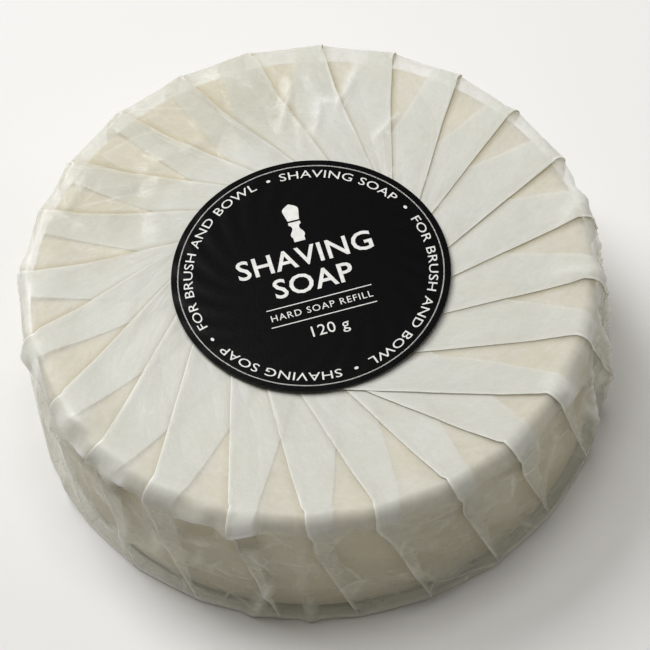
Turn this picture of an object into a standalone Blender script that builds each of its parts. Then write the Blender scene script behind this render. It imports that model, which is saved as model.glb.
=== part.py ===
"""Shaving soap puck: a round cake of soap in one sheet of pleated film, closed by a round label.

Metres, +Z up. The origin is the centre of the underside. The film is one sheet: it lies flat
under the cake, runs up the wall, and is folded over the top edge in pleats that all lean the
same way. The pleats stop round a small opening in the middle, and the label seals it. The label
peels up from the front, about an axis along X at its rear edge.
"""

import math

import bmesh
import bpy
from mathutils import Vector

# Soap cake
SOAP_DIAMETER = 0.0788
SOAP_HEIGHT = 0.0228
SOAP_EDGE_RADIUS = 0.0020
SOAP_SIDES = 96

# Film wrapper
FILM_THICKNESS = 0.0003
FOOT_FLARE = 0.0010
FOOT_EDGE_RADIUS = 0.0008
OPENING_DIAMETER = 0.0234
PLEAT_COUNT = 24
PLEAT_STEP = 0.0003
WALL_LEAN = math.radians(9.0)
FIRST_PLEAT_ANGLE = math.radians(10.0)

# Label
LABEL_DIAMETER = 0.0388
LABEL_THICKNESS = 0.0003
LABEL_EDGE_BEVEL = 0.00008
LABEL_SIDES = 96

# Space between pieces that touch
GAP = 0.0003

# One pleat, counterclockwise from its folded edge: (share of the pitch, share of the step)
PLEAT_PROFILE = ((0.0, 0.0), (0.05, 1.0), (0.36, 0.67), (0.68, 0.34))
EDGE_SEGMENTS = 4
TOP_RINGS = 4
WALL_RINGS = 3

# Heights, from the surface it stands on
FILM_BASE_TOP = FILM_THICKNESS
SOAP_BOTTOM = FILM_BASE_TOP + GAP
SOAP_TOP = SOAP_BOTTOM + SOAP_HEIGHT
FILM_TOP_INNER = SOAP_TOP + GAP
FILM_TOP_OUTER = FILM_TOP_INNER + FILM_THICKNESS
LABEL_BOTTOM = FILM_TOP_OUTER + PLEAT_STEP + GAP

# Radii
FILM_INNER_RADIUS = SOAP_DIAMETER / 2 + GAP
FILM_OUTER_RADIUS = FILM_INNER_RADIUS + FILM_THICKNESS
OPENING_RADIUS = OPENING_DIAMETER / 2
LABEL_RADIUS = LABEL_DIAMETER / 2
INNER_EDGE_RADIUS = SOAP_EDGE_RADIUS + GAP
OUTER_EDGE_RADIUS = INNER_EDGE_RADIUS + FILM_THICKNESS


def clear_scene():
    for existing in list(bpy.data.objects):
        bpy.data.objects.remove(existing, do_unlink=True)


def make_material(name, colour, roughness, metallic=0.0):
    material = bpy.data.materials.new(name)
    material.use_nodes = True
    shader = material.node_tree.nodes["Principled BSDF"]
    shader.inputs["Base Color"].default_value = (*colour, 1.0)
    shader.inputs["Roughness"].default_value = roughness
    shader.inputs["Metallic"].default_value = metallic
    return material


def make_object(name, bm, material, location=(0.0, 0.0, 0.0), sharp_angle=35.0):
    bmesh.ops.recalc_face_normals(bm, faces=bm.faces)
    mesh = bpy.data.meshes.new(name)
    bm.to_mesh(mesh)
    bm.free()
    mesh.shade_smooth()
    mesh.set_sharp_from_angle(angle=math.radians(sharp_angle))
    mesh.materials.append(material)
    piece = bpy.data.objects.new(name, mesh)
    piece.location = location
    bpy.context.scene.collection.objects.link(piece)
    return piece


def disc(diameter, thickness, sides, edge_radius, edge_segments):
    """A round slab standing on z = 0, with both rims rounded."""
    bm = bmesh.new()
    bmesh.ops.create_cone(
        bm, cap_ends=True, segments=sides, radius1=diameter / 2, radius2=diameter / 2, depth=thickness
    )
    bmesh.ops.translate(bm, verts=bm.verts, vec=(0.0, 0.0, thickness / 2))
    rims = [edge for edge in bm.edges if abs(edge.verts[0].co.z - edge.verts[1].co.z) < thickness / 2]
    bmesh.ops.bevel(
        bm,
        geom=rims,
        offset=edge_radius,
        offset_type="OFFSET",
        segments=edge_segments,
        profile=0.5,
        affect="EDGES",
        material=-1,
    )
    return bm


def fold_turn(radius):
    """How far a straight fold has turned at this radius. Every fold is tangent to the opening."""
    return math.acos(min(1.0, OPENING_RADIUS / radius))


def rounded_corner(centre_radius, centre_height, corner_radius, start, end):
    """Ring sizes round an edge, as (radius, height) pairs, between two angles in degrees."""
    rings = []
    for step in range(EDGE_SEGMENTS + 1):
        angle = math.radians(start + (end - start) * step / EDGE_SEGMENTS)
        rings.append(
            (centre_radius + corner_radius * math.cos(angle), centre_height + corner_radius * math.sin(angle))
        )
    return rings


def outer_rings():
    """The film's outside, from the foot to the opening: (radius, height, pleat share)."""
    foot_radius = FILM_OUTER_RADIUS + FOOT_FLARE
    edge_centre_height = FILM_TOP_OUTER - OUTER_EDGE_RADIUS
    edge_centre_radius = FILM_OUTER_RADIUS - OUTER_EDGE_RADIUS
    rings = [
        (radius, height, 0.0)
        for radius, height in rounded_corner(
            foot_radius - FOOT_EDGE_RADIUS, FOOT_EDGE_RADIUS, FOOT_EDGE_RADIUS, -90, 0
        )
    ]
    for step in range(1, WALL_RINGS):
        share = step / WALL_RINGS
        height = FOOT_EDGE_RADIUS + share * (edge_centre_height - FOOT_EDGE_RADIUS)
        rings.append((foot_radius - share * FOOT_FLARE, height, share))
    for radius, height in rounded_corner(edge_centre_radius, edge_centre_height, OUTER_EDGE_RADIUS, 0, 90):
        rings.append((radius, height, 1.0))
    for step in range(1, TOP_RINGS + 1):
        share = step / TOP_RINGS
        rings.append((edge_centre_radius + share * (OPENING_RADIUS - edge_centre_radius), FILM_TOP_OUTER, 1.0))
    return rings


def inner_rings():
    """The film's inside, from the opening down to the base: (radius, height, pleat share)."""
    edge_centre_height = FILM_TOP_INNER - INNER_EDGE_RADIUS
    edge_centre_radius = FILM_INNER_RADIUS - INNER_EDGE_RADIUS
    rings = []
    for step in range(TOP_RINGS):
        share = step / TOP_RINGS
        rings.append((OPENING_RADIUS + share * (edge_centre_radius - OPENING_RADIUS), FILM_TOP_INNER, 0.0))
    for radius, height in rounded_corner(edge_centre_radius, edge_centre_height, INNER_EDGE_RADIUS, 90, 0):
        rings.append((radius, height, 0.0))
    for step in range(1, WALL_RINGS + 1):
        share = step / WALL_RINGS
        height = edge_centre_height + share * (FILM_BASE_TOP + FOOT_EDGE_RADIUS - edge_centre_height)
        rings.append((FILM_INNER_RADIUS + share * FOOT_FLARE, height, 0.0))
    rings.append((FILM_INNER_RADIUS + FOOT_FLARE - FOOT_EDGE_RADIUS, FILM_BASE_TOP, 0.0))
    return rings


def column_position(column, radius, height, pleat_share):
    """Where one column of the film crosses one ring. The step lifts the top and widens the wall."""
    pleat, place = divmod(column, len(PLEAT_PROFILE))
    pitch_share, step_share = PLEAT_PROFILE[place]
    start = FIRST_PLEAT_ANGLE + 2 * math.pi * (pleat + pitch_share) / PLEAT_COUNT
    wall_top = FILM_TOP_OUTER - OUTER_EDGE_RADIUS
    drop = max(0.0, wall_top - height) / wall_top
    angle = start + fold_turn(radius) + WALL_LEAN * drop
    step = PLEAT_STEP * step_share * pleat_share
    rise = min(1.0, max(0.0, height - wall_top) / OUTER_EDGE_RADIUS)
    sideways = math.sqrt(max(0.0, 1.0 - rise * rise))
    out = radius + step * sideways
    return Vector((out * math.cos(angle), out * math.sin(angle), height + step * rise))


def add_ring(bm, edges, ring):
    """Extrudes the open edge loop, and sets the new loop out on the next ring."""
    column_layer = bm.verts.layers.int["column"]
    old_loop = {vertex for edge in edges for vertex in edge.verts}
    grown = bmesh.ops.extrude_edge_only(bm, edges=edges)["geom"]
    for vertex in [item for item in grown if isinstance(item, bmesh.types.BMVert)]:
        source = next(edge.other_vert(vertex) for edge in vertex.link_edges if edge.other_vert(vertex) in old_loop)
        vertex[column_layer] = source[column_layer]
        vertex.co = column_position(source[column_layer], *ring)
    return [item for item in grown if isinstance(item, bmesh.types.BMEdge) and item.is_boundary]


def film_mesh():
    """The pleated film: a cup in one closed body, whose mouth is the opening under the label."""
    bm = bmesh.new()
    column_layer = bm.verts.layers.int.new("column")
    columns = PLEAT_COUNT * len(PLEAT_PROFILE)
    rings = outer_rings() + inner_rings()
    loop = bmesh.ops.create_circle(bm, cap_ends=True, segments=columns, radius=rings[0][0])["verts"]
    loop.sort(key=lambda vertex: math.atan2(vertex.co.y, vertex.co.x) % (2 * math.pi))
    for column, vertex in enumerate(loop):
        vertex[column_layer] = column
        vertex.co = column_position(column, *rings[0])
    edges = list(bm.edges)
    for ring in rings[1:]:
        edges = add_ring(bm, edges, ring)
    bmesh.ops.holes_fill(bm, edges=edges, sides=0)
    return bm


def build_soap():
    material = make_material("soap", (0.80, 0.72, 0.55), 0.55)
    bm = disc(SOAP_DIAMETER, SOAP_HEIGHT, SOAP_SIDES, SOAP_EDGE_RADIUS, EDGE_SEGMENTS)
    return make_object("soap_puck", bm, material, (0.0, 0.0, SOAP_BOTTOM))


def build_film():
    material = make_material("film", (0.72, 0.71, 0.65), 0.25)
    return make_object("film_wrapper", film_mesh(), material)


def build_label():
    """The label's origin is on its peeling axis, at its rear edge."""
    material = make_material("label", (0.012, 0.012, 0.014), 0.18)
    bm = disc(LABEL_DIAMETER, LABEL_THICKNESS, LABEL_SIDES, LABEL_EDGE_BEVEL, 1)
    bmesh.ops.translate(bm, verts=bm.verts, vec=(0.0, -LABEL_RADIUS, 0.0))
    return make_object("seal_label", bm, material, (0.0, LABEL_RADIUS, LABEL_BOTTOM))


clear_scene()
build_soap()
build_film()
build_label()
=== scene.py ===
"""Shaving soap puck: the cream cake, its pleated film, the printed label, and a plain studio."""

import math
import random

import bmesh
import bpy
from bpy.props import FloatProperty, FloatVectorProperty, IntProperty, PointerProperty, StringProperty
from mathutils import Matrix, Vector, noise


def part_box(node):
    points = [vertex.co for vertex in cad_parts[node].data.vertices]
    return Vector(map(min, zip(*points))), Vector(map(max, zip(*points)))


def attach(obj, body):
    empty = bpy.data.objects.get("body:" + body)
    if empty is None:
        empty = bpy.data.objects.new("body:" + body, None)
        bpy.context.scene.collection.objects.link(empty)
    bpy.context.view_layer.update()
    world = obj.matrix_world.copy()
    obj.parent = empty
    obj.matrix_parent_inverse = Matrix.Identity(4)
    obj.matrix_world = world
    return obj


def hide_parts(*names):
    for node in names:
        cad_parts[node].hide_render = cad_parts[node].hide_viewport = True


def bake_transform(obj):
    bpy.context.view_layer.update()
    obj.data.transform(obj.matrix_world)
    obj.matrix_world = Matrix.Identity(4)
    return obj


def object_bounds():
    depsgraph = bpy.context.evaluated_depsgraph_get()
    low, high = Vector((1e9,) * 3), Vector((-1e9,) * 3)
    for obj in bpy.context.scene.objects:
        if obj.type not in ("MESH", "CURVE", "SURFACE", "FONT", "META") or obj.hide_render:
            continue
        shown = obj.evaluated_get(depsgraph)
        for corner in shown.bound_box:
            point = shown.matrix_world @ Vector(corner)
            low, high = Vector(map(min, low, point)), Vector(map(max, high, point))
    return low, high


bl_info = {
    "name": "Shaving Soap Puck",
    "version": (1, 0, 0),
    "blender": (4, 5, 0),
    "location": "3D View > Sidebar > Soap",
    "description": "Builds a wrapped cake of shaving soap with its label and a plain studio",
    "category": "Object",
}

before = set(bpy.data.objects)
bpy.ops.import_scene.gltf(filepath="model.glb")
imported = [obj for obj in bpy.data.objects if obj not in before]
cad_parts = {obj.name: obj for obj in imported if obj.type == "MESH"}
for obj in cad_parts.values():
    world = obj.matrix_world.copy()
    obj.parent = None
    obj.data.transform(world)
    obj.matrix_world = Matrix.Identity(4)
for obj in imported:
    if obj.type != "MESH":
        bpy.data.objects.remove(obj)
CAD_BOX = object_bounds()

SOAP_LOW, SOAP_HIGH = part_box("soap_puck")
FILM_LOW, FILM_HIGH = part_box("film_wrapper")
SOAP_RADIUS = SOAP_HIGH.x
FOOT_RADIUS = (FILM_HIGH.x - FILM_LOW.x) / 2
LABEL_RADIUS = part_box("seal_label")[1].x
MM = 0.001
TURN = 2 * math.pi
TABLE_GAP = 0.02 * MM
SHEET_MAP = 0.2
PRINT_MAP = 0.04


class SoapSettings(bpy.types.PropertyGroup):
    edge_radius: FloatProperty(
        name="Edge radius", description="Rounding of the cake's top rim", default=2.2 * MM, unit="LENGTH"
    )
    foot_radius: FloatProperty(
        name="Foot radius", description="Rounding of the cake's bottom rim", default=0.9 * MM, unit="LENGTH"
    )
    unevenness: FloatProperty(
        name="Unevenness", description="Height of the pressed cake's dents",
        default=0.06 * MM, unit="LENGTH"
    )
    colour: FloatVectorProperty(
        name="Colour", description="Cream of the hard soap",
        default=(0.63, 0.56, 0.395), subtype="COLOR", size=3
    )
    roughness: FloatProperty(
        name="Roughness", description="Waxy surface of the cake", default=0.5, subtype="FACTOR"
    )


class FilmSettings(bpy.types.PropertyGroup):
    pleats: IntProperty(name="Pleats", description="Number of folds round the puck", default=24)
    first_fold: FloatProperty(
        name="First fold", description="Direction of the first fold at the rim",
        default=math.radians(7.5), subtype="ANGLE"
    )
    clearance: FloatProperty(
        name="Clearance", description="Air between the soap and the first layer",
        default=0.2 * MM, unit="LENGTH"
    )
    layer_step: FloatProperty(
        name="Layer step", description="Spacing of folded layers", default=0.05 * MM, unit="LENGTH"
    )
    edge_radius: FloatProperty(
        name="Edge radius", description="Rounding of the film over the rim", default=1.3 * MM, unit="LENGTH"
    )
    soft_edge: FloatProperty(
        name="Soft edge", description="Extra rounding over the rim in front",
        default=0.9 * MM, unit="LENGTH"
    )
    rim_slack: FloatProperty(
        name="Rim slack", description="How far the film stands off the cake's rim",
        default=0.95 * MM, unit="LENGTH"
    )
    foot_slack: FloatProperty(
        name="Foot slack", description="How far the film spreads past the cake's foot",
        default=0.35 * MM, unit="LENGTH"
    )
    fold_fullness: FloatProperty(
        name="Fold fullness", description="Depth of the folds against a tight wrap", default=1.22, min=1.0
    )
    edge_lift: FloatProperty(
        name="Edge lift", description="How far an open fold stands up on the top",
        default=0.08 * MM, unit="LENGTH"
    )
    rim_lift: FloatProperty(
        name="Rim lift", description="How far an open fold stands out at the rim",
        default=0.16 * MM, unit="LENGTH"
    )
    tangent_share: FloatProperty(
        name="Swirl", description="Radius that the folds aim past, as a share of the rim",
        default=0.30, subtype="FACTOR"
    )
    shallow_from: IntProperty(
        name="Shallow from", description="First of four shallow, crumpled folds", default=7
    )
    last_pleat: IntProperty(name="Last pleat", description="Which fold was laid last, on top", default=21)
    last_swirl: FloatProperty(
        name="Last swirl", description="Radius that the last fold aims past, as a share of the rim",
        default=0.47, subtype="FACTOR"
    )
    wall_lean: FloatProperty(
        name="Wall lean", description="Turn of each fold down the wall",
        default=math.radians(9), subtype="ANGLE"
    )
    opening_radius: FloatProperty(
        name="Opening radius", description="Where the sheet ends under the label",
        default=11.7 * MM, unit="LENGTH"
    )
    colour: FloatVectorProperty(
        name="Colour", description="White of the frosted film",
        default=(0.88, 0.89, 0.85), subtype="COLOR", size=3
    )
    solidity: FloatProperty(
        name="Solidity", description="Share of light that one layer scatters",
        default=0.48, subtype="FACTOR"
    )
    roughness: FloatProperty(
        name="Roughness", description="Gloss of the film, 0 for a mirror", default=0.36, subtype="FACTOR"
    )
    seed: IntProperty(name="Seed", description="Which hand-folded wrap is drawn", default=11)


class LabelSettings(bpy.types.PropertyGroup):
    thickness: FloatProperty(
        name="Thickness", description="Thickness of the label stock", default=0.12 * MM, unit="LENGTH"
    )
    height: FloatProperty(
        name="Height", description="Underside of the label above the table",
        default=24.32 * MM, unit="LENGTH"
    )
    ring_inset: FloatProperty(
        name="Ring inset", description="Printed ring's distance from the edge",
        default=0.95 * MM, unit="LENGTH"
    )
    ring_width: FloatProperty(
        name="Ring width", description="Width of the printed ring", default=0.16 * MM, unit="LENGTH"
    )
    ink_height: FloatProperty(
        name="Ink height", description="Thickness of the white print", default=0.012 * MM, unit="LENGTH"
    )
    turn: FloatProperty(
        name="Turn", description="How far the label was stuck on askew",
        default=math.radians(10), subtype="ANGLE"
    )
    ring_words: StringProperty(
        name="Ring words", description="Generic words round the edge",
        default="SHAVING SOAP  •  FOR BRUSH AND BOWL  •  "
    )
    colour: FloatVectorProperty(
        name="Colour", description="Black of the label stock",
        default=(0.003, 0.003, 0.0035), subtype="COLOR", size=3
    )
    ink: FloatVectorProperty(
        name="Ink", description="White of the print", default=(0.82, 0.82, 0.80), subtype="COLOR", size=3
    )


class StageSettings(bpy.types.PropertyGroup):
    elevation: FloatProperty(
        name="Elevation", description="Camera height over the horizon",
        default=math.radians(56.2), subtype="ANGLE"
    )
    distance: FloatProperty(
        name="Distance", description="Camera to the middle of the puck", default=0.403, unit="LENGTH"
    )
    roll: FloatProperty(
        name="Roll", description="Tilt of the camera", default=math.radians(5.9), subtype="ANGLE"
    )
    lens: FloatProperty(name="Lens", description="Focal length in millimetres", default=157.4)
    floor_colour: FloatVectorProperty(
        name="Floor", description="Pale table", default=(0.84, 0.84, 0.84), subtype="COLOR", size=3
    )


# ---- shared helpers


def settings(context):
    return context.scene.soap_puck


def smooth(low, high, value):
    share = min(1.0, max(0.0, (value - low) / (high - low)))
    return share * share * (3 - 2 * share)


def grow(bm, edges):
    """Extrudes an open loop: the new points, and the new loop's edges."""
    grown = bmesh.ops.extrude_edge_only(bm, edges=edges)["geom"]
    points = [item for item in grown if isinstance(item, bmesh.types.BMVert)]
    rim = [item for item in grown if isinstance(item, bmesh.types.BMEdge) and item.is_boundary]
    return points, rim


def thicken(bm, thickness):
    bmesh.ops.solidify(bm, geom=bm.faces[:] + bm.edges[:] + bm.verts[:], thickness=thickness)
    bmesh.ops.recalc_face_normals(bm, faces=bm.faces)
    return bm


def add_piece(bm, name, material, smooth_angle=40.0):
    mesh = bpy.data.meshes.new(name)
    bm.to_mesh(mesh)
    bm.free()
    mesh.shade_smooth()
    if smooth_angle:
        mesh.set_sharp_from_angle(angle=math.radians(smooth_angle))
    mesh.materials.append(material)
    piece = bpy.data.objects.new(name, mesh)
    bpy.context.scene.collection.objects.link(piece)
    return piece


class Nodes:
    """A material's node tree, with one call for each kind of node that the finishes use."""

    def __init__(self, name):
        self.material = bpy.data.materials.new(name)
        self.material.use_nodes = True
        self.tree = self.material.node_tree
        self.shader = self.tree.nodes["Principled BSDF"]

    def add(self, kind, **values):
        node = self.tree.nodes.new(kind)
        for key, value in values.items():
            setattr(node, key, value)
        return node

    def link(self, source, target):
        self.tree.links.new(source, target)

    def feed(self, socket, value):
        if isinstance(value, bpy.types.NodeSocket):
            self.link(value, socket)
        else:
            socket.default_value = value

    def coordinates(self, scale=(1.0, 1.0, 1.0), uv=None):
        mapping = self.add("ShaderNodeMapping")
        mapping.inputs["Scale"].default_value = scale
        if uv:
            self.link(self.add("ShaderNodeUVMap", uv_map=uv).outputs["UV"], mapping.inputs["Vector"])
        else:
            self.link(self.add("ShaderNodeTexCoord").outputs["Object"], mapping.inputs["Vector"])
        return mapping.outputs["Vector"]

    def noise(self, vector, scale, detail=4.0, roughness=0.55, distortion=0.0):
        node = self.add("ShaderNodeTexNoise")
        self.link(vector, node.inputs["Vector"])
        node.inputs["Scale"].default_value = scale
        node.inputs["Detail"].default_value = detail
        node.inputs["Roughness"].default_value = roughness
        node.inputs["Distortion"].default_value = distortion
        return node.outputs["Fac"]

    def facets(self, vector, scale, wander):
        """Flat patches of a crumpled sheet: distance from the nearest crease, and a number for each patch."""
        bent = self.add("ShaderNodeTexNoise")
        bent.inputs["Scale"].default_value = scale * 0.5
        self.link(vector, bent.inputs["Vector"])
        shifted = self.add("ShaderNodeVectorMath", operation="MULTIPLY_ADD")
        self.link(bent.outputs["Color"], shifted.inputs[0])
        shifted.inputs[1].default_value = (wander, wander, wander)
        self.link(vector, shifted.inputs[2])
        cells = self.add("ShaderNodeTexVoronoi", feature="DISTANCE_TO_EDGE")
        cells.inputs["Scale"].default_value = scale
        self.link(shifted.outputs["Vector"], cells.inputs["Vector"])
        patches = self.add("ShaderNodeTexVoronoi", feature="F1")
        patches.inputs["Scale"].default_value = scale
        self.link(shifted.outputs["Vector"], patches.inputs["Vector"])
        return cells.outputs["Distance"], patches.outputs["Color"]

    def remap(self, value, low, high, to_low, to_high):
        node = self.add("ShaderNodeMapRange")
        for key, number in (("From Min", low), ("From Max", high), ("To Min", to_low), ("To Max", to_high)):
            node.inputs[key].default_value = number
        self.link(value, node.inputs["Value"])
        return node.outputs["Result"]

    def maths(self, operation, first, second, clamp=False):
        node = self.add("ShaderNodeMath", operation=operation, use_clamp=clamp)
        self.feed(node.inputs[0], first)
        self.feed(node.inputs[1], second)
        return node.outputs[0]

    def mix_colour(self, share, first, second):
        node = self.add("ShaderNodeMix", data_type="RGBA")
        self.feed(node.inputs["Factor"], share)
        self.feed(node.inputs["A"], first if isinstance(first, bpy.types.NodeSocket) else (*first, 1.0))
        self.feed(node.inputs["B"], second if isinstance(second, bpy.types.NodeSocket) else (*second, 1.0))
        return node.outputs["Result"]

    def bump(self, height, strength, distance, before=None):
        node = self.add("ShaderNodeBump")
        node.inputs["Strength"].default_value = strength
        node.inputs["Distance"].default_value = distance
        self.link(height, node.inputs["Height"])
        if before:
            self.link(before, node.inputs["Normal"])
        return node.outputs["Normal"]

    def attribute(self, name):
        return self.add("ShaderNodeAttribute", attribute_name=name).outputs["Fac"]


# ---- soap cake


def soap_finish(props):
    """Hard cream soap: faint cloudy mottling, waxy sheen and tiny pits."""
    nodes = Nodes("hard_cream_soap")
    place = nodes.coordinates()
    cloud = nodes.noise(place, 90.0, 5.0, 0.6)
    specks = nodes.noise(place, 900.0, 3.0, 0.6)
    pale = [min(1.0, channel * 1.08) for channel in props.colour]
    deep = [channel * 0.90 for channel in props.colour]
    mottled = nodes.mix_colour(nodes.remap(cloud, 0.35, 0.65, 0.0, 1.0), deep, pale)
    nodes.feed(nodes.shader.inputs["Base Color"], mottled)
    spread = 0.12
    nodes.feed(
        nodes.shader.inputs["Roughness"],
        nodes.remap(specks, 0.3, 0.7, props.roughness - spread, props.roughness + spread),
    )
    soft = nodes.bump(cloud, 0.25, 0.0004)
    nodes.feed(nodes.shader.inputs["Normal"], nodes.bump(specks, 0.2, 0.00006, soft))
    nodes.shader.inputs["Subsurface Weight"].default_value = 0.15
    nodes.shader.inputs["Subsurface Radius"].default_value = (1.0, 0.7, 0.4)
    nodes.shader.inputs["Subsurface Scale"].default_value = 0.0012
    return nodes.material


class SOAP_OT_cake(bpy.types.Operator):
    """Press the round cake of cream soap"""

    bl_idname = "soap.cake"
    bl_label = "Soap Cake"

    def execute(self, context):
        props = settings(context).soap
        height = SOAP_HIGH.z - SOAP_LOW.z
        bm = bmesh.new()
        bmesh.ops.create_cone(
            bm, cap_ends=True, segments=192, radius1=SOAP_RADIUS, radius2=SOAP_RADIUS, depth=height
        )
        bmesh.ops.translate(bm, verts=bm.verts, vec=(0, 0, (SOAP_LOW.z + SOAP_HIGH.z) / 2))
        for level, radius in ((SOAP_HIGH.z, props.edge_radius), (SOAP_LOW.z, props.foot_radius)):
            rim = [edge for edge in bm.edges if max(abs(v.co.z - level) for v in edge.verts) < 0.1 * MM]
            bmesh.ops.bevel(bm, geom=rim, offset=radius, segments=8, profile=0.5, affect="EDGES", material=-1)
        caps = [face for face in bm.faces if len(face.verts) > 4]
        for inset in (6 * MM, 8 * MM, 8 * MM, 8 * MM):
            bmesh.ops.inset_region(bm, faces=caps, thickness=inset, use_even_offset=False)
        for vertex in bm.verts:
            place = vertex.co * 55.0
            vertex.co += vertex.co.normalized() * (noise.noise(place) - 0.6) * props.unevenness
        piece = add_piece(bm, "soap_cake", soap_finish(props))
        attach(piece, "wrapped_soap")
        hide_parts("soap_puck")
        return {"FINISHED"}


# ---- film wrapper


class Ring:
    """One line round the film, at one distance along the sheet from its middle."""

    def __init__(self, radius, height, out, up, reach, part):
        self.radius, self.height = radius, height
        self.out, self.up = out, up
        self.reach, self.part = reach, part


class Wrap:
    """The sheet's shape: where each fold runs and how its layers lie on each other.

    A fold is a Z: the strip clockwise of it runs on under it to a hidden edge, comes back to the open
    edge, and goes on as the next strip. The sheet is flat, so the further it is from its middle, the
    more of it the folds take up.
    """

    STRIP = (0.012, 0.03, 0.06, 0.1, 0.16, 0.23, 0.31, 0.39, 0.47, 0.55, 0.63, 0.71, 0.79, 0.87, 0.94, 1.0)
    HIDDEN = (0.12, 0.45, 0.8)
    BACK = (0.8, 0.45, 0.12)
    PER_FOLD = len(BACK) + len(STRIP) + len(HIDDEN) + 2
    LAYERS_UNDER = 6
    FULL_DEPTH = 1.2 * MM
    SHALLOW_FOLDS = 4
    WALL_CREASES = 54
    TOP_CREASES = 26
    FAR = 14 * MM
    BULGES = ((0.38, 0.30, 0.9), (-0.35, 0.22, 0.8), (2.75, 0.28, 0.9), (-2.2, 0.2, 0.6))

    def __init__(self, props):
        self.props = props
        self.count = props.pleats
        self.edge_radius = props.edge_radius
        self.wall_radius = SOAP_RADIUS + props.clearance
        self.top = SOAP_HIGH.z + props.clearance
        self.rim_centre = (self.wall_radius - self.edge_radius, self.top - self.edge_radius)
        rng = random.Random(props.seed)
        self.pitch_jitter = [rng.uniform(-0.055, 0.055) for _ in range(self.count)]
        self.swirl = [props.tangent_share * rng.uniform(0.72, 1.3) for _ in range(self.count)]
        self.depth_jitter = [props.fold_fullness * rng.uniform(0.84, 1.16) for _ in range(self.count)]
        self.lift_jitter = [rng.uniform(0.5, 1.5) for _ in range(self.count)]
        self.tuck = [rng.uniform(-0.6, 0.6) for _ in range(self.count)]
        for fold in range(props.shallow_from, props.shallow_from + self.SHALLOW_FOLDS):
            self.depth_jitter[fold] *= 0.74
            self.lift_jitter[fold] *= 0.5
        self.swirl[props.last_pleat] = props.last_swirl
        self.lift_jitter[props.last_pleat] = 1.7
        self.ridges = self.make_ridges(rng)
        self.rings = self.make_rings()

    def make_rings(self):
        """The outline of the sheet from under the foot, up the wall and over to the opening."""
        centre_r, centre_z = self.rim_centre
        foot_top, wall_steps, rim_steps, top_steps = 0.62 * MM, 30, 8, 40
        outline = [
            (FOOT_RADIUS - 1.6 * MM, 0.05 * MM, "foot"),
            (FOOT_RADIUS - 0.5 * MM, 0.07 * MM, "foot"),
            (FOOT_RADIUS - 0.08 * MM, 0.22 * MM, "foot"),
            (FOOT_RADIUS, foot_top, "foot"),
        ]
        for step in range(1, wall_steps):
            share = step / wall_steps
            radius = FOOT_RADIUS + (self.wall_radius - FOOT_RADIUS) * share
            outline.append((radius, foot_top + (centre_z - foot_top) * share, "wall"))
        for step in range(rim_steps + 1):
            angle = math.radians(90 * step / rim_steps)
            across = self.edge_radius * math.cos(angle)
            outline.append((centre_r + across, centre_z + self.edge_radius * math.sin(angle), "rim"))
        for step in range(1, top_steps + 1):
            share = step / top_steps
            outline.append((centre_r + (self.props.opening_radius - centre_r) * share, self.top, "top"))
        rings, reach = [], outline[0][0]
        for index, (radius, height, part) in enumerate(outline):
            before = outline[max(0, index - 1)]
            after = outline[min(len(outline) - 1, index + 1)]
            reach += math.hypot(radius - before[0], height - before[1])
            along = Vector((after[0] - before[0], after[1] - before[1])).normalized()
            rings.append(Ring(radius, height, along.y, -along.x, reach, part))
        return rings

    def make_ridges(self, rng):
        """Creases pressed into the sheet, as (direction, place along, lean, length, half width, height).

        Most are on the wall, and a few on the crumpled rear left of the top. Then come the loose folds on
        the right, and the pockets under the rim at the front left.
        """
        ridges = []
        for _ in range(self.WALL_CREASES):
            ridges.append((
                rng.uniform(0, TURN), rng.uniform(2, 23) * MM, rng.uniform(-1.2, 1.2),
                rng.uniform(4, 11) * MM, rng.uniform(1.5, 3.0) * MM,
                rng.choice((-0.4, 0.5, 0.8)) * rng.uniform(0.5, 1.0) * MM,
            ))
        for _ in range(self.TOP_CREASES):
            ridges.append((
                math.radians(rng.uniform(80, 175)), rng.uniform(27, 44) * MM, rng.uniform(-1.6, 1.6),
                rng.uniform(2, 6) * MM, rng.uniform(1.2, 2.2) * MM, rng.uniform(-0.15, 0.32) * MM,
            ))
        rear_top = ((92, 34, 0.3, 7), (83, 36, 0.1, 6), (76, 31, 0.4, 5), (62, 36, 0.3, 4))
        for centre, along, lean, length in rear_top:
            ridges.append((math.radians(centre), along * MM, lean, length * MM, 1.2 * MM, 0.34 * MM))
        for centre in (-26, -17, -8, 2, 9):
            lean = rng.uniform(-0.25, 0.1)
            height = rng.uniform(0.8, 1.1) * MM
            ridges.append((math.radians(centre), 13 * MM, lean, 13 * MM, 1.4 * MM, height))
        for centre in (-146, -136, -119, -109):
            ridges.append((math.radians(centre), 23.6 * MM, 1.35, 3.6 * MM, 1.4 * MM, 0.8 * MM))
            ridges.append((math.radians(centre + 2), 20.8 * MM, 1.25, 3.6 * MM, 1.7 * MM, -1.0 * MM))
        return ridges

    def ridge(self, angle, ring):
        """Height of the pressed creases here, and how near their crest, which is whitened as a painted
        highlight.
        """
        height, crest = 0.0, 0.0
        reach = ring.reach - self.rings[0].reach
        for centre, along, lean, length, width, amount in self.ridges:
            across = ((angle - centre + math.pi) % TURN - math.pi) * ring.radius
            up = reach - along
            if max(abs(across), abs(up)) > self.FAR:
                continue
            aside = across * math.cos(lean) - up * math.sin(lean)
            onward = across * math.sin(lean) + up * math.cos(lean)
            taper = 1 - smooth(0.4 * length, length, abs(onward))
            tent = max(0.0, 1 - abs(aside) / width) * taper
            height += amount * tent
            # Painted highlight: the crests of raised ridges are whitened, narrow ones most.
            sharp = min(1.0, (1.45 * MM / width) ** 2) * smooth(0.0, 0.5 * MM, amount)
            crest = max(crest, sharp * tent ** 2)
        return height, crest

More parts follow.
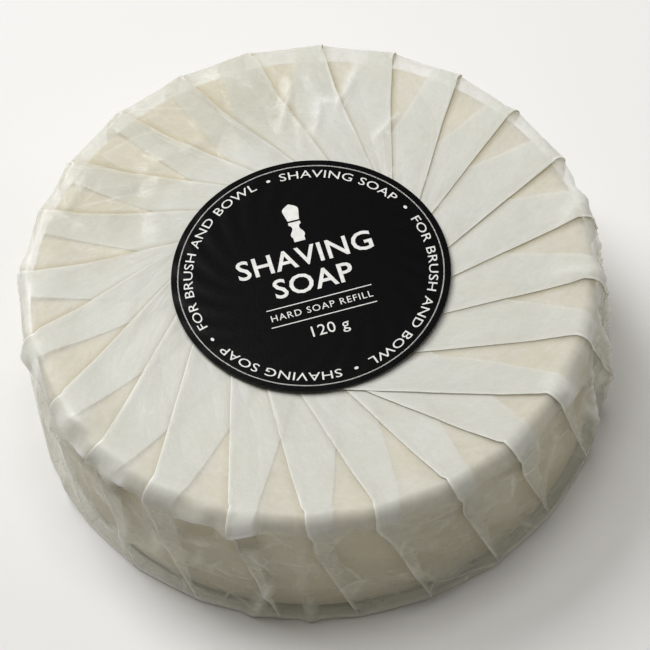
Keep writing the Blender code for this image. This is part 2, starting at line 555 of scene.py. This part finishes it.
    def slack(self, angle):
        """How far the film stands off the rim: least in front, most behind, and never even."""
        swell = 1.0 + 0.6 * math.cos(angle - math.radians(105))
        place = Vector((math.cos(angle) * 1.7, math.sin(angle) * 1.7, 0.3))
        return self.props.rim_slack * max(0.35, swell + 0.45 * noise.noise(place))

    def facet(self, angle, ring):
        """Share of the way from one open edge to the next at this ring."""
        pitch = TURN / self.count
        fold = math.floor((angle - self.fold_angle(0, ring)) / pitch)
        while self.fold_angle(fold + 1, ring) <= angle:
            fold += 1
        while self.fold_angle(fold, ring) > angle:
            fold -= 1
        start, end = self.fold_angle(fold, ring), self.fold_angle(fold + 1, ring)
        return min(1.0, max(0.0, (angle - start) / max(1e-4, end - start)))

    def fold_angle(self, fold, ring):
        """Direction of a fold's open edge where it crosses a ring, counted on past a full turn."""
        turns, index = divmod(fold, self.count)
        pitch = TURN / self.count
        angle = self.props.first_fold + pitch * (index + self.pitch_jitter[index]) + turns * TURN
        if ring.part == "top":
            aim = self.swirl[index] * self.wall_radius
            angle += math.acos(min(1.0, aim / ring.radius)) - math.acos(aim / self.rim_centre[0])
        drop = max(0.0, self.rim_centre[1] - ring.height) / self.rim_centre[1]
        angle += self.props.wall_lean * drop
        if ring.part != "top":
            near_rim = math.exp(-((ring.height - self.rim_centre[1] + 1.0 * MM) / (2.2 * MM)) ** 2)
            angle += pitch * 0.16 * self.tuck[index] * near_rim
        return angle

    def fold_depth(self, fold, ring):
        """Angle between a fold's open edge and its hidden edge: what the flat sheet has to lose."""
        spare = max(0.0, ring.reach - self.rings[0].reach - (ring.radius - self.rings[0].radius))
        depth = math.pi * spare / self.count * self.depth_jitter[fold % self.count]
        return depth / ring.radius

    def stack(self, fold, angle, ring):
        """Height of a strip over the first layer, from how many folded layers lie under it."""
        soft = 0.7 * MM / ring.radius
        layers = 0.0
        for under in range(self.LAYERS_UNDER):
            end = self.fold_angle(fold - under, ring) + self.fold_depth(fold - under, ring)
            layers += 2 * smooth(end + soft, end, angle) if angle > end else 2
        spare = self.fold_depth(fold, ring) * ring.radius
        return layers * self.props.layer_step * min(1.0, spare / self.FULL_DEPTH)

    def inward(self, ring):
        """How far a ring lies in from the rim, over the top."""
        return max(0.0, self.rim_centre[0] - ring.radius) if ring.part == "top" else 0.0

    def lift(self, fold, angle, ring):
        """Extra height of a strip beside its open edge, where the fold stands up."""
        away = max(0.0, (angle - self.fold_angle(fold, ring)) * ring.radius)
        steep = smooth(self.rim_centre[1] - 14 * MM, self.rim_centre[1], ring.height)
        over = 1.0 - smooth(0.0, 6 * MM, self.inward(ring))
        amount = self.props.edge_lift + (self.props.rim_lift - self.props.edge_lift) * steep * over
        amount *= 1.0 - 0.75 * smooth(LABEL_RADIUS + 3 * MM, LABEL_RADIUS - 1 * MM, ring.radius)
        if ring.part in ("foot", "wall"):
            amount *= steep
        fall = (1.3 + 1.5 * over * steep) * MM
        return amount * self.lift_jitter[fold % self.count] * math.exp(-away / fall)

    def ripple(self, angle, ring):
        """Slack in the film, the same for all layers, so that they don't cross."""
        x, y = ring.radius * math.cos(angle), ring.radius * math.sin(angle)
        place = Vector((x, y, ring.height))
        return 0.05 * MM * noise.noise(place * 160.0) + 0.03 * MM * noise.noise(place * 420.0)

    def standoff(self, angle, ring):
        """How far the film stands out and up from the cake, in flat facets between open edges."""
        near_rim = 1 - smooth(0.0, 7 * MM, self.inward(ring))
        if near_rim <= 0:
            return 0.0, 0.0
        share = min(1.0, ring.height / self.rim_centre[1])
        slack = self.slack(angle)
        out = (self.props.foot_slack * (1 - share) + slack * share) * near_rim
        up = 0.35 * slack * near_rim * smooth(0.8, 1.0, share)
        facet = self.facet(angle, ring)
        chord = 0.34 * MM * (1 - (2 * facet - 1) ** 2)
        out -= chord * near_rim * (0.6 + 0.6 * share)
        rounder = self.props.soft_edge * smooth(0.5, -0.7, math.sin(angle))
        out -= rounder * (1 - ring.out) * near_rim * share
        up -= rounder * (1 - ring.up) * share ** 3
        if ring.part == "wall":
            loose = 0.0
            for centre, width, amount in self.BULGES:
                offset = (angle - centre + math.pi) % TURN - math.pi
                loose += amount * MM * max(0.0, 1 - abs(offset) / width)
            out += loose * math.sin(math.pi * share)
        return out, up

    def place(self, angle, ring, height):
        """A point of the sheet, its whitening from creases and painted highlights, and how deep in a pocket
        it lies, which is darkened as painted shade.
        """
        out, up = self.standoff(angle, ring)
        pressed, crest = self.ridge(angle, ring)
        rise = height + self.ripple(angle, ring) + pressed
        radius = ring.radius + ring.out * rise + out
        z = ring.height + ring.up * rise + up
        if ring.part == "wall":
            radius = max(radius, SOAP_RADIUS + 0.08 * MM + height)
        spot = Vector((radius * math.cos(angle), radius * math.sin(angle), max(TABLE_GAP, z)))
        # Painted highlight: the lowest 2 mm of film round the foot is whitened.
        crest = max(crest, 0.75 * smooth(2.2 * MM, 0.7 * MM, ring.height))
        return spot, crest, smooth(0.2 * MM, 0.6 * MM, -pressed)

    def loose(self, spot):
        """Where the film is crumpled: all of the wall, and the rear left of the top. The film's colour is
        also darkened and warmed there as painted shade on the side.
        """
        low = smooth(self.rim_centre[1] + 1.6 * MM, self.rim_centre[1] - 3 * MM, spot.z)
        angle = math.degrees(math.atan2(spot.y, spot.x))
        radius = math.hypot(spot.x, spot.y)
        rear = smooth(70, 100, angle) * smooth(185, 150, angle)
        rear *= smooth(LABEL_RADIUS, 0.75 * SOAP_RADIUS, radius)
        return max(0.16, low, 0.5 * rear)

    def painted_fold_shade(self, index):
        """How near a column lies to the line where the next fold's open edge covers it: the weight of the
        painted shade line beside each open edge.
        """
        item = index % self.PER_FOLD - len(self.BACK) - 1
        last = len(self.STRIP)
        return {last - 1: 0.45, last: 1.0, last + 1: 0.7}.get(item, 0.0)

    def column(self, index, ring):
        """Where a column of the sheet crosses a ring, with its crease whitening and painted highlight, and
        its painted pocket shade.
        """
        step = self.props.layer_step
        fold, item = divmod(index, self.PER_FOLD)
        start = self.fold_angle(fold, ring)
        depth = self.fold_depth(fold, ring)
        thin = min(1.0, depth * ring.radius / self.FULL_DEPTH)
        if item == 0:
            angle = start + depth
            height = self.stack(fold, angle, ring) - 1.5 * step * thin
            return self.place(angle, ring, height)
        if item <= len(self.BACK):
            angle = start + depth * self.BACK[item - 1]
            height = self.stack(fold, angle, ring) - step * thin + 0.9 * self.lift(fold, angle, ring)
            return self.place(angle, ring, height)
        item -= len(self.BACK) + 1
        if item == 0:
            height = self.stack(fold, start, ring) - 0.5 * step * thin + self.lift(fold, start, ring)
            spot, crest, pocket_shade = self.place(start, ring, height)
            # Painted highlight: the open edge is whitened, most on the front left, where the fold edges catch
            # the light.
            front = smooth(0.1, -0.6, math.sin(start)) * smooth(0.9, 0.2, math.cos(start))
            return spot, max(crest, 0.35 + 0.55 * front), pocket_shade
        after = self.fold_angle(fold + 1, ring)
        after_depth = self.fold_depth(fold + 1, ring)
        width = max(0.02 * TURN / self.count, after - start)
        if item <= len(self.STRIP):
            share = self.STRIP[item - 1]
            angle = start + width * share
        else:
            share = self.HIDDEN[item - len(self.STRIP) - 1]
            angle = start + width + (after + after_depth - start - width) * share
        height = self.stack(fold, angle, ring) + self.lift(fold, angle, ring)
        spot, crest, pocket_shade = self.place(angle, ring, height)
        # Painted highlight: on the wall and rim the two strip columns next to the open edge are whitened into
        # a bright line.
        return spot, max(crest, {1: 0.7, 2: 0.3}.get(item, 0.0) if ring.part != "top" else 0.0), pocket_shade

    def columns(self):
        return self.count * self.PER_FOLD


def film_finish(props):
    """Thin frosted film: see-through, whiter where it overlaps or is creased, with painted highlights on fold
    edges, ridge crests and the foot, painted shade beside fold edges, in pockets and on the wall, and a
    crinkled gloss.
    """
    nodes = Nodes("frosted_wrapping_film")
    flat = nodes.coordinates(uv="sheet")
    cloud = nodes.noise(flat, 26.0, 5.0, 0.62)
    fibre = nodes.noise(flat, 150.0, 4.0, 0.7)
    crinkle = nodes.noise(flat, 60.0, 3.0, 0.5, 0.6)
    crease_and_glint = nodes.attribute("crease_and_glint")
    loose = nodes.attribute("loose")
    crumple, patch = nodes.facets(flat, 19.0, 0.016)
    fine_crumple, fine_patch = nodes.facets(flat, 43.0, 0.012)
    sharp = nodes.remap(crumple, 0.0, 0.035, 0.8, 0.0)
    fine_sharp = nodes.remap(fine_crumple, 0.0, 0.035, 0.5, 0.0)
    lines = nodes.maths("MULTIPLY", nodes.maths("MAXIMUM", sharp, fine_sharp), loose)
    lines = nodes.maths("MULTIPLY", lines, nodes.remap(cloud, 0.44, 0.6, 0.0, 1.0))
    fine_tone = nodes.remap(fine_patch, 0.0, 1.0, -0.05, 0.05)
    patches = nodes.maths("ADD", nodes.remap(patch, 0.0, 1.0, -0.1, 0.1), fine_tone)
    mottled = nodes.maths(
        "ADD", nodes.remap(cloud, 0.3, 0.7, -0.05, 0.05), nodes.remap(fibre, 0.3, 0.7, -0.05, 0.05)
    )
    solid = nodes.maths("SUBTRACT", props.solidity, nodes.maths("MULTIPLY", loose, 0.15))
    solid = nodes.maths("ADD", solid, mottled)
    solid = nodes.maths("ADD", solid, nodes.maths("MULTIPLY", patches, loose))
    solid = nodes.maths("ADD", solid, nodes.maths("MULTIPLY", crease_and_glint, 0.4))
    solid = nodes.maths("ADD", solid, nodes.maths("MULTIPLY", lines, 0.34), clamp=True)
    nodes.feed(nodes.shader.inputs["Alpha"], solid)
    warm = [channel * tint for channel, tint in zip(props.colour, (0.985, 0.98, 0.955))]
    white = nodes.mix_colour(nodes.remap(cloud, 0.35, 0.65, 0.0, 1.0), warm, props.colour)
    # Painted shade: darker, warmer film where the loose mask is high, on the whole wall and part of the rear
    # top.
    deep = [channel * tint for channel, tint in zip(props.colour, (0.905, 0.885, 0.765))]
    white = nodes.mix_colour(nodes.remap(loose, 0.2, 0.9, 0.0, 1.0), white, deep)
    # Painted shade: a dark warm tint beside each open fold edge and in pressed pockets.
    tuck = [channel * tint for channel, tint in zip(props.colour, (0.66, 0.60, 0.46))]
    white = nodes.mix_colour(nodes.attribute("painted_fold_shade"), white, tuck)
    # Partly crease whitening, partly painted highlight: the film colour is mixed towards white along creases,
    # open fold edges, ridge crests and the foot.
    bright = nodes.remap(crease_and_glint, 0.35, 1.0, 0.0, 0.9)
    nodes.feed(nodes.shader.inputs["Base Color"], nodes.mix_colour(bright, white, (0.98, 0.98, 0.96)))
    nodes.feed(
        nodes.shader.inputs["Roughness"],
        nodes.remap(crinkle, 0.3, 0.7, props.roughness - 0.08, props.roughness + 0.1),
    )
    pressed = nodes.maths("MULTIPLY", nodes.maths("MULTIPLY", crumple, loose), 0.0022)
    slack = nodes.maths("MULTIPLY", crinkle, 0.00008)
    relief = nodes.maths("ADD", nodes.maths("ADD", pressed, slack), nodes.maths("MULTIPLY", fibre, 0.000012))
    nodes.feed(nodes.shader.inputs["Normal"], nodes.bump(relief, 1.0, 1.0))
    nodes.shader.inputs["Specular IOR Level"].default_value = 0.5
    nodes.feed(nodes.shader.inputs["Coat Weight"], nodes.remap(loose, 0.16, 1.0, 0.08, 0.9))
    nodes.shader.inputs["Coat Roughness"].default_value = 0.07
    return nodes.material


def film_sheet(props):
    """The folded sheet: a grid whose columns follow the folds, closed into a cup by its base.

    Its map is the flat sheet itself, so that creases and mottling follow the folds.
    """
    wrap = Wrap(props)
    columns, rows = wrap.columns(), len(wrap.rings) - 1
    bm = bmesh.new()
    bmesh.ops.create_grid(bm, x_segments=columns, y_segments=rows, size=0.5)
    sheet_map = bm.loops.layers.uv.new("sheet")
    crease_and_glint = bm.verts.layers.float.new("crease_and_glint")
    loose = bm.verts.layers.float.new("loose")
    painted_fold_shade = bm.verts.layers.float.new("painted_fold_shade")
    spots = {}
    for vertex in bm.verts:
        column = round((vertex.co.x + 0.5) * columns)
        row = round((vertex.co.y + 0.5) * rows)
        spots[vertex] = column, row
    for face in bm.faces:
        for loop in face.loops:
            column, row = spots[loop.vert]
            turn = TURN * column / columns
            reach = wrap.rings[row].reach
            across, along = reach * math.cos(turn), reach * math.sin(turn)
            loop[sheet_map].uv = (across / SHEET_MAP + 0.5, along / SHEET_MAP + 0.5)
    for vertex, (column, row) in spots.items():
        vertex.co, vertex[crease_and_glint], pocket_shade = wrap.column(column, wrap.rings[row])
        vertex[loose] = wrap.loose(vertex.co)
        share = vertex.co.z / wrap.top
        # Painted shade: a dark line beside each open fold edge and in pressed pockets, weaker on the front of
        # the top.
        shade = 1 - 0.6 * smooth(0.0, -0.6, vertex.co.y / SOAP_RADIUS) * smooth(0.8, 0.95, share)
        vertex[painted_fold_shade] = max(pocket_shade, shade * wrap.painted_fold_shade(column) * smooth(0.0, 0.3, share))
    touching = 0.0005 * MM
    bmesh.ops.remove_doubles(bm, verts=bm.verts, dist=touching)
    bmesh.ops.dissolve_degenerate(bm, dist=touching, edges=bm.edges)
    walls = set(bm.faces)
    open_edges = [edge for edge in bm.edges if edge.is_boundary]
    loop_edges = [edge for edge in open_edges if max(vertex.co.z for vertex in edge.verts) < MM]
    for share in (0.95, 0.88, 0.78, 0.66, 0.54, 0.42, 0.3, 0.19, 0.09):
        points, loop_edges = grow(bm, loop_edges)
        for vertex in points:
            direction = math.atan2(vertex.co.y, vertex.co.x)
            radius = wrap.rings[0].radius * share
            across, along = radius * math.cos(direction), radius * math.sin(direction)
            wave = 0.05 * MM * (1 + noise.noise(Vector((across * 120, along * 120, 4.0))))
            vertex.co = Vector((across, along, 0.03 * MM + wave))
            vertex[crease_and_glint], vertex[loose], vertex[painted_fold_shade] = 0.0, 0.25, 0.0
    middle = bmesh.ops.holes_fill(bm, edges=loop_edges, sides=0)["faces"]
    bmesh.ops.poke(bm, faces=middle)
    for face in bm.faces:
        if face not in walls:
            for loop in face.loops:
                place = loop.vert.co
                loop[sheet_map].uv = (place.x / SHEET_MAP + 0.5, place.y / SHEET_MAP + 0.5)
    return bm, wrap


class SOAP_OT_film(bpy.types.Operator):
    """Fold the sheet of film round the cake"""

    bl_idname = "soap.film"
    bl_label = "Film Wrapper"

    def execute(self, context):
        props = settings(context).film
        bm, wrap = film_sheet(props)
        piece = add_piece(bm, "pleated_film", film_finish(props), smooth_angle=50.0)
        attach(piece, "wrapped_soap")
        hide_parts("film_wrapper")
        return {"FINISHED"}


# ---- label


def label_height(props, x, y):
    """The label's underside: flat, with the folds under it just telling."""
    place = Vector((x, y, 0.0))
    swirl = math.atan2(y, x) + 1.1 * math.hypot(x, y) / LABEL_RADIUS
    outer = smooth(0.45, 1.0, math.hypot(x, y) / LABEL_RADIUS)
    folds = 0.014 * MM * math.sin(24 * swirl) * outer
    return props.height + folds + 0.05 * MM * noise.noise(place * 70.0)


def bend_label(piece):
    """Bakes the piece's placement into its mesh; the label lies flat where it was built."""
    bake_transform(piece)


def label_finish(props):
    """Coated black stock: deep gloss with a faint orange-peel and a little dust."""
    nodes = Nodes("gloss_black_label")
    flat = nodes.coordinates(uv="print")
    dust = nodes.noise(flat, 160.0, 4.0, 0.7)
    peel = nodes.noise(flat, 45.0, 2.0, 0.5)
    grey = [channel * 2.4 + 0.002 for channel in props.colour]
    dusty = nodes.mix_colour(nodes.remap(dust, 0.62, 0.8, 0.0, 1.0), props.colour, grey)
    nodes.feed(nodes.shader.inputs["Base Color"], dusty)
    nodes.feed(nodes.shader.inputs["Roughness"], nodes.remap(dust, 0.3, 0.75, 0.14, 0.24))
    nodes.feed(nodes.shader.inputs["Normal"], nodes.bump(peel, 0.03, 0.0002))
    nodes.shader.inputs["Specular IOR Level"].default_value = 0.13
    nodes.shader.inputs["Coat Weight"].default_value = 0.09
    nodes.shader.inputs["Coat Roughness"].default_value = 0.06
    return nodes.material


def ink_finish(props):
    """White ink: nearly flat, a little uneven in cover."""
    nodes = Nodes("white_ink")
    cover = nodes.noise(nodes.coordinates(), 1500.0, 3.0, 0.6)
    thin = [channel * 0.86 for channel in props.ink]
    uneven = nodes.mix_colour(nodes.remap(cover, 0.3, 0.6, 0.0, 1.0), thin, props.ink)
    nodes.feed(nodes.shader.inputs["Base Color"], uneven)
    nodes.feed(nodes.shader.inputs["Roughness"], nodes.remap(cover, 0.3, 0.7, 0.28, 0.42))
    nodes.feed(nodes.shader.inputs["Normal"], nodes.bump(cover, 0.1, 0.00002))
    return nodes.material


class SOAP_OT_label(bpy.types.Operator):
    """Cut the round black label"""

    bl_idname = "soap.label"
    bl_label = "Label"

    def execute(self, context):
        props = settings(context).label
        bm = bmesh.new()
        bmesh.ops.create_circle(bm, cap_ends=False, segments=220, radius=LABEL_RADIUS)
        edges, rings = bm.edges[:], 44
        for step in range(1, rings):
            share = 1 - step / rings
            points, edges = grow(bm, edges)
            for vertex in points:
                vertex.co = vertex.co.normalized() * LABEL_RADIUS * share
        centre = bmesh.ops.holes_fill(bm, edges=edges, sides=0)["faces"]
        bmesh.ops.poke(bm, faces=centre)
        for vertex in bm.verts:
            vertex.co.z = label_height(props, vertex.co.x, vertex.co.y)
        bmesh.ops.recalc_face_normals(bm, faces=bm.faces)
        if sum(face.normal.z for face in bm.faces) < 0:
            bmesh.ops.reverse_faces(bm, faces=bm.faces)
        thicken(bm, -props.thickness)
        print_map = bm.loops.layers.uv.new("print")
        for face in bm.faces:
            for loop in face.loops:
                place = loop.vert.co
                loop[print_map].uv = (place.x / PRINT_MAP + 0.5, place.y / PRINT_MAP + 0.5)
        piece = add_piece(bm, "round_label", label_finish(props))
        bend_label(piece)
        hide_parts("seal_label")
        return {"FINISHED"}


def words_mesh(text, size, ink_height, spacing=1.0, bold=0.0):
    """A line of capitals as thin closed ink, centred on the origin."""
    curve = bpy.data.curves.new("words", "FONT")
    curve.body = text
    curve.size = size
    curve.align_x = "CENTER"
    curve.align_y = "CENTER"
    curve.space_character = spacing
    curve.offset = bold
    curve.extrude = ink_height / 2
    curve.resolution_u = 3
    holder = bpy.data.objects.new("words", curve)
    bpy.context.scene.collection.objects.link(holder)
    bpy.context.view_layer.update()
    mesh = bpy.data.meshes.new_from_object(holder.evaluated_get(bpy.context.evaluated_depsgraph_get()))
    bpy.data.objects.remove(holder)
    bm = bmesh.new()
    bm.from_mesh(mesh)
    bpy.data.meshes.remove(mesh)
    bmesh.ops.remove_doubles(bm, verts=bm.verts, dist=1e-7)
    return bm


def on_label(bm, props, shift=(0.0, 0.0)):
    """Lays flat ink on the label: shifted, turned with the label, and following its surface."""
    bmesh.ops.triangulate(bm, faces=bm.faces)
    longest, passes = 0.4 * MM, 6
    for _ in range(passes):
        long_edges = [edge for edge in bm.edges if edge.calc_length() > longest]
        if not long_edges:
            break
        bmesh.ops.subdivide_edges(bm, edges=long_edges, cuts=1)
        bmesh.ops.triangulate(bm, faces=bm.faces)
    bmesh.ops.translate(bm, verts=bm.verts, vec=(shift[0], shift[1], 0.0))
    bmesh.ops.rotate(bm, verts=bm.verts, cent=(0, 0, 0), matrix=Matrix.Rotation(props.turn, 3, "Z"))
    for vertex in bm.verts:
        top = label_height(props, vertex.co.x, vertex.co.y) + props.thickness
        vertex.co.z = top + props.ink_height / 2 + vertex.co.z + 0.002 * MM


def bent_words(text, size, radius, ink_height, spacing):
    """Words bent round a circle, reading from outside, closed into a full ring."""
    bm = words_mesh(text, size, ink_height, spacing)
    low = min(vertex.co.x for vertex in bm.verts)
    high = max(vertex.co.x for vertex in bm.verts)
    gap = size * 0.55
    for vertex in bm.verts:
        angle = math.pi / 2 - TURN * (vertex.co.x - low) / (high - low + gap)
        away = radius + vertex.co.y
        vertex.co.x, vertex.co.y = away * math.cos(angle), away * math.sin(angle)
    return bm


def ring_mesh(radius, width, ink_height):
    bm = bmesh.new()
    bmesh.ops.create_circle(bm, cap_ends=False, segments=180, radius=radius + width / 2)
    for vertex in grow(bm, bm.edges[:])[0]:
        vertex.co = vertex.co.normalized() * (radius - width / 2)
    return thicken(bm, ink_height)


def bar_mesh(length, width, ink_height):
    bm = bmesh.new()
    bmesh.ops.create_grid(bm, x_segments=24, y_segments=1, size=0.5)
    bmesh.ops.scale(bm, verts=bm.verts, vec=(length, width, 1.0))
    return thicken(bm, ink_height)


def brush_width(along):
    """Half width of the shaving brush at a share of its height: a fanned tuft over a turned handle."""
    if along > 0.1:
        return (0.24 + 0.2 * (along - 0.1)) * math.sqrt(max(0.02, 1 - smooth(0.55, 1.0, along) ** 2))
    if along > -0.12:
        return 0.26
    waist = 0.5 + 0.5 * math.cos((along + 0.62) * math.pi / 0.36)
    return 0.15 + 0.15 * waist if along > -0.8 else 0.24


def brush_mesh(size, ink_height):
    """A small shaving brush: the tuft and the handle, with a gap between them."""
    bm = bmesh.new()
    for low, high in ((0.14, 1.0), (-0.98, 0.05)):
        part = bmesh.ops.create_grid(bm, x_segments=6, y_segments=30, size=0.5)["verts"]
        for vertex in part:
            along = low + (high - low) * (vertex.co.y + 0.5)
            vertex.co.x *= 2 * brush_width(along) * size
            vertex.co.y = along * size
    return thicken(bm, ink_height)


class SOAP_OT_print(bpy.types.Operator):
    """Print the plain generic wording, the ring and the brush in white"""

    bl_idname = "soap.print"
    bl_label = "Label Print"

    def execute(self, context):
        props = settings(context).label
        ink = props.ink_height
        finish = ink_finish(props)
        pieces = {
            "print_ring": (ring_mesh(LABEL_RADIUS - props.ring_inset, props.ring_width, ink), (0.0, 0.0)),
            "print_ring_words": (
                bent_words(props.ring_words * 2, 1.85 * MM, LABEL_RADIUS - 2.45 * MM, ink, 1.05), (0.0, 0.0)
            ),
            "print_brush": (brush_mesh(3.3 * MM, ink), (0.0, 8.9 * MM)),
            "print_title": (words_mesh("SHAVING", 4.5 * MM, ink, 1.05, 0.06 * MM), (0.0, 2.9 * MM)),
            "print_title_low": (words_mesh("SOAP", 4.5 * MM, ink, 1.05, 0.06 * MM), (0.0, -1.5 * MM)),
            "print_rule_upper": (bar_mesh(15.0 * MM, 0.14 * MM, ink), (0.0, -4.4 * MM)),
            "print_note": (words_mesh("HARD SOAP REFILL", 1.5 * MM, ink, 1.15), (0.0, -5.9 * MM)),
            "print_rule_lower": (bar_mesh(15.0 * MM, 0.14 * MM, ink), (0.0, -7.3 * MM)),
            "print_weight": (words_mesh("120 g", 2.5 * MM, ink, 1.05), (0.0, -9.6 * MM)),
        }
        for name, (bm, shift) in pieces.items():
            on_label(bm, props, shift)
            piece = add_piece(bm, name, finish)
            bend_label(piece)
        return {"FINISHED"}


# ---- studio


def soft_light(name, place, aim, size, power, colour=(1.0, 1.0, 1.0)):
    lamp = bpy.data.lights.new(name, "AREA")
    lamp.shape = "RECTANGLE"
    lamp.size, lamp.size_y = size
    lamp.energy = power
    lamp.color = colour
    holder = bpy.data.objects.new(name, lamp)
    holder.location = place
    holder.rotation_euler = (Vector(aim) - Vector(place)).to_track_quat("-Z", "Y").to_euler()
    bpy.context.scene.collection.objects.link(holder)


def table_finish(props):
    """Matt pale board, very slightly uneven."""
    nodes = Nodes("pale_table")
    place = nodes.coordinates()
    cloud = nodes.noise(place, 6.0, 3.0, 0.5)
    grain = nodes.noise(place, 700.0, 2.0, 0.5)
    dull = [channel * 0.985 for channel in props.floor_colour]
    nodes.feed(nodes.shader.inputs["Base Color"], nodes.mix_colour(cloud, dull, props.floor_colour))
    nodes.feed(nodes.shader.inputs["Roughness"], nodes.remap(grain, 0.3, 0.7, 0.76, 0.84))
    nodes.feed(nodes.shader.inputs["Normal"], nodes.bump(grain, 0.05, 0.00005))
    return nodes.material


class SOAP_OT_stage(bpy.types.Operator):
    """Set out the pale table, the soft lights and the camera"""

    bl_idname = "soap.stage"
    bl_label = "Studio"

    def execute(self, context):
        props = settings(context).stage
        bm = bmesh.new()
        bmesh.ops.create_grid(bm, x_segments=4, y_segments=4, size=2.0)
        add_piece(bm, "table", table_finish(props))

        world = bpy.data.worlds.new("studio")
        world.use_nodes = True
        background = world.node_tree.nodes["Background"]
        background.inputs["Color"].default_value = (1.0, 0.93, 0.80, 1.0)
        background.inputs["Strength"].default_value = 0.09
        context.scene.world = world
        context.scene.view_settings.view_transform = "Standard"

        middle = (0.0, 0.0, (CAD_BOX[0].z + CAD_BOX[1].z) / 2)
        soft_light("key", (-0.40, 0.46, 0.70), middle, (0.5, 0.5), 6.2)
        soft_light("overhead", (-0.05, 0.12, 0.9), middle, (0.6, 0.32), 3.2, (1.0, 0.985, 0.95))
        soft_light("edge", (0.7, 0.1, 0.35), (0.08, 0.0, 0.0), (0.3, 0.3), 0.8)

        camera = bpy.data.cameras.new("camera")
        camera.lens = props.lens
        camera.clip_start, camera.clip_end = 0.01, 20.0
        holder = bpy.data.objects.new("camera", camera)
        away = Vector((0.0, -math.cos(props.elevation), math.sin(props.elevation)))
        aim = Vector((1.23 * MM, -0.88 * MM, middle[2]))
        place = Vector(middle) + away * props.distance
        holder.location = place
        facing = (aim - place).to_track_quat("-Z", "Y")
        holder.rotation_euler = (facing.to_matrix() @ Matrix.Rotation(-props.roll, 3, "Z")).to_euler()
        context.scene.collection.objects.link(holder)
        context.scene.camera = holder
        return {"FINISHED"}


# ---- panel and registration


class PuckSettings(bpy.types.PropertyGroup):
    soap: PointerProperty(type=SoapSettings)
    film: PointerProperty(type=FilmSettings)
    label: PointerProperty(type=LabelSettings)
    stage: PointerProperty(type=StageSettings)


class SOAP_PT_puck(bpy.types.Panel):
    """Sizes, colours and steps of the shaving soap puck"""

    bl_label = "Shaving Soap Puck"
    bl_space_type = "VIEW_3D"
    bl_region_type = "UI"
    bl_category = "Soap"

    def draw(self, context):
        for name in ("soap", "film", "label", "stage"):
            box = self.layout.box()
            group = getattr(settings(context), name)
            for key in group.bl_rna.properties.keys():
                if key not in ("rna_type", "name"):
                    box.prop(group, key)
        for operator in ("soap.cake", "soap.film", "soap.label", "soap.print", "soap.stage"):
            self.layout.operator(operator)


CLASSES = (
    SoapSettings, FilmSettings, LabelSettings, StageSettings, PuckSettings,
    SOAP_OT_cake, SOAP_OT_film, SOAP_OT_label, SOAP_OT_print, SOAP_OT_stage, SOAP_PT_puck,
)


def register():
    for cls in CLASSES:
        bpy.utils.register_class(cls)
    bpy.types.Scene.soap_puck = PointerProperty(type=PuckSettings)


def unregister():
    del bpy.types.Scene.soap_puck
    for cls in reversed(CLASSES):
        bpy.utils.unregister_class(cls)


def main():
    register()
    bpy.ops.soap.cake()
    bpy.ops.soap.film()
    bpy.ops.soap.label()
    bpy.ops.soap.print()
    bpy.ops.soap.stage()


if __name__ == "__main__":
    main()
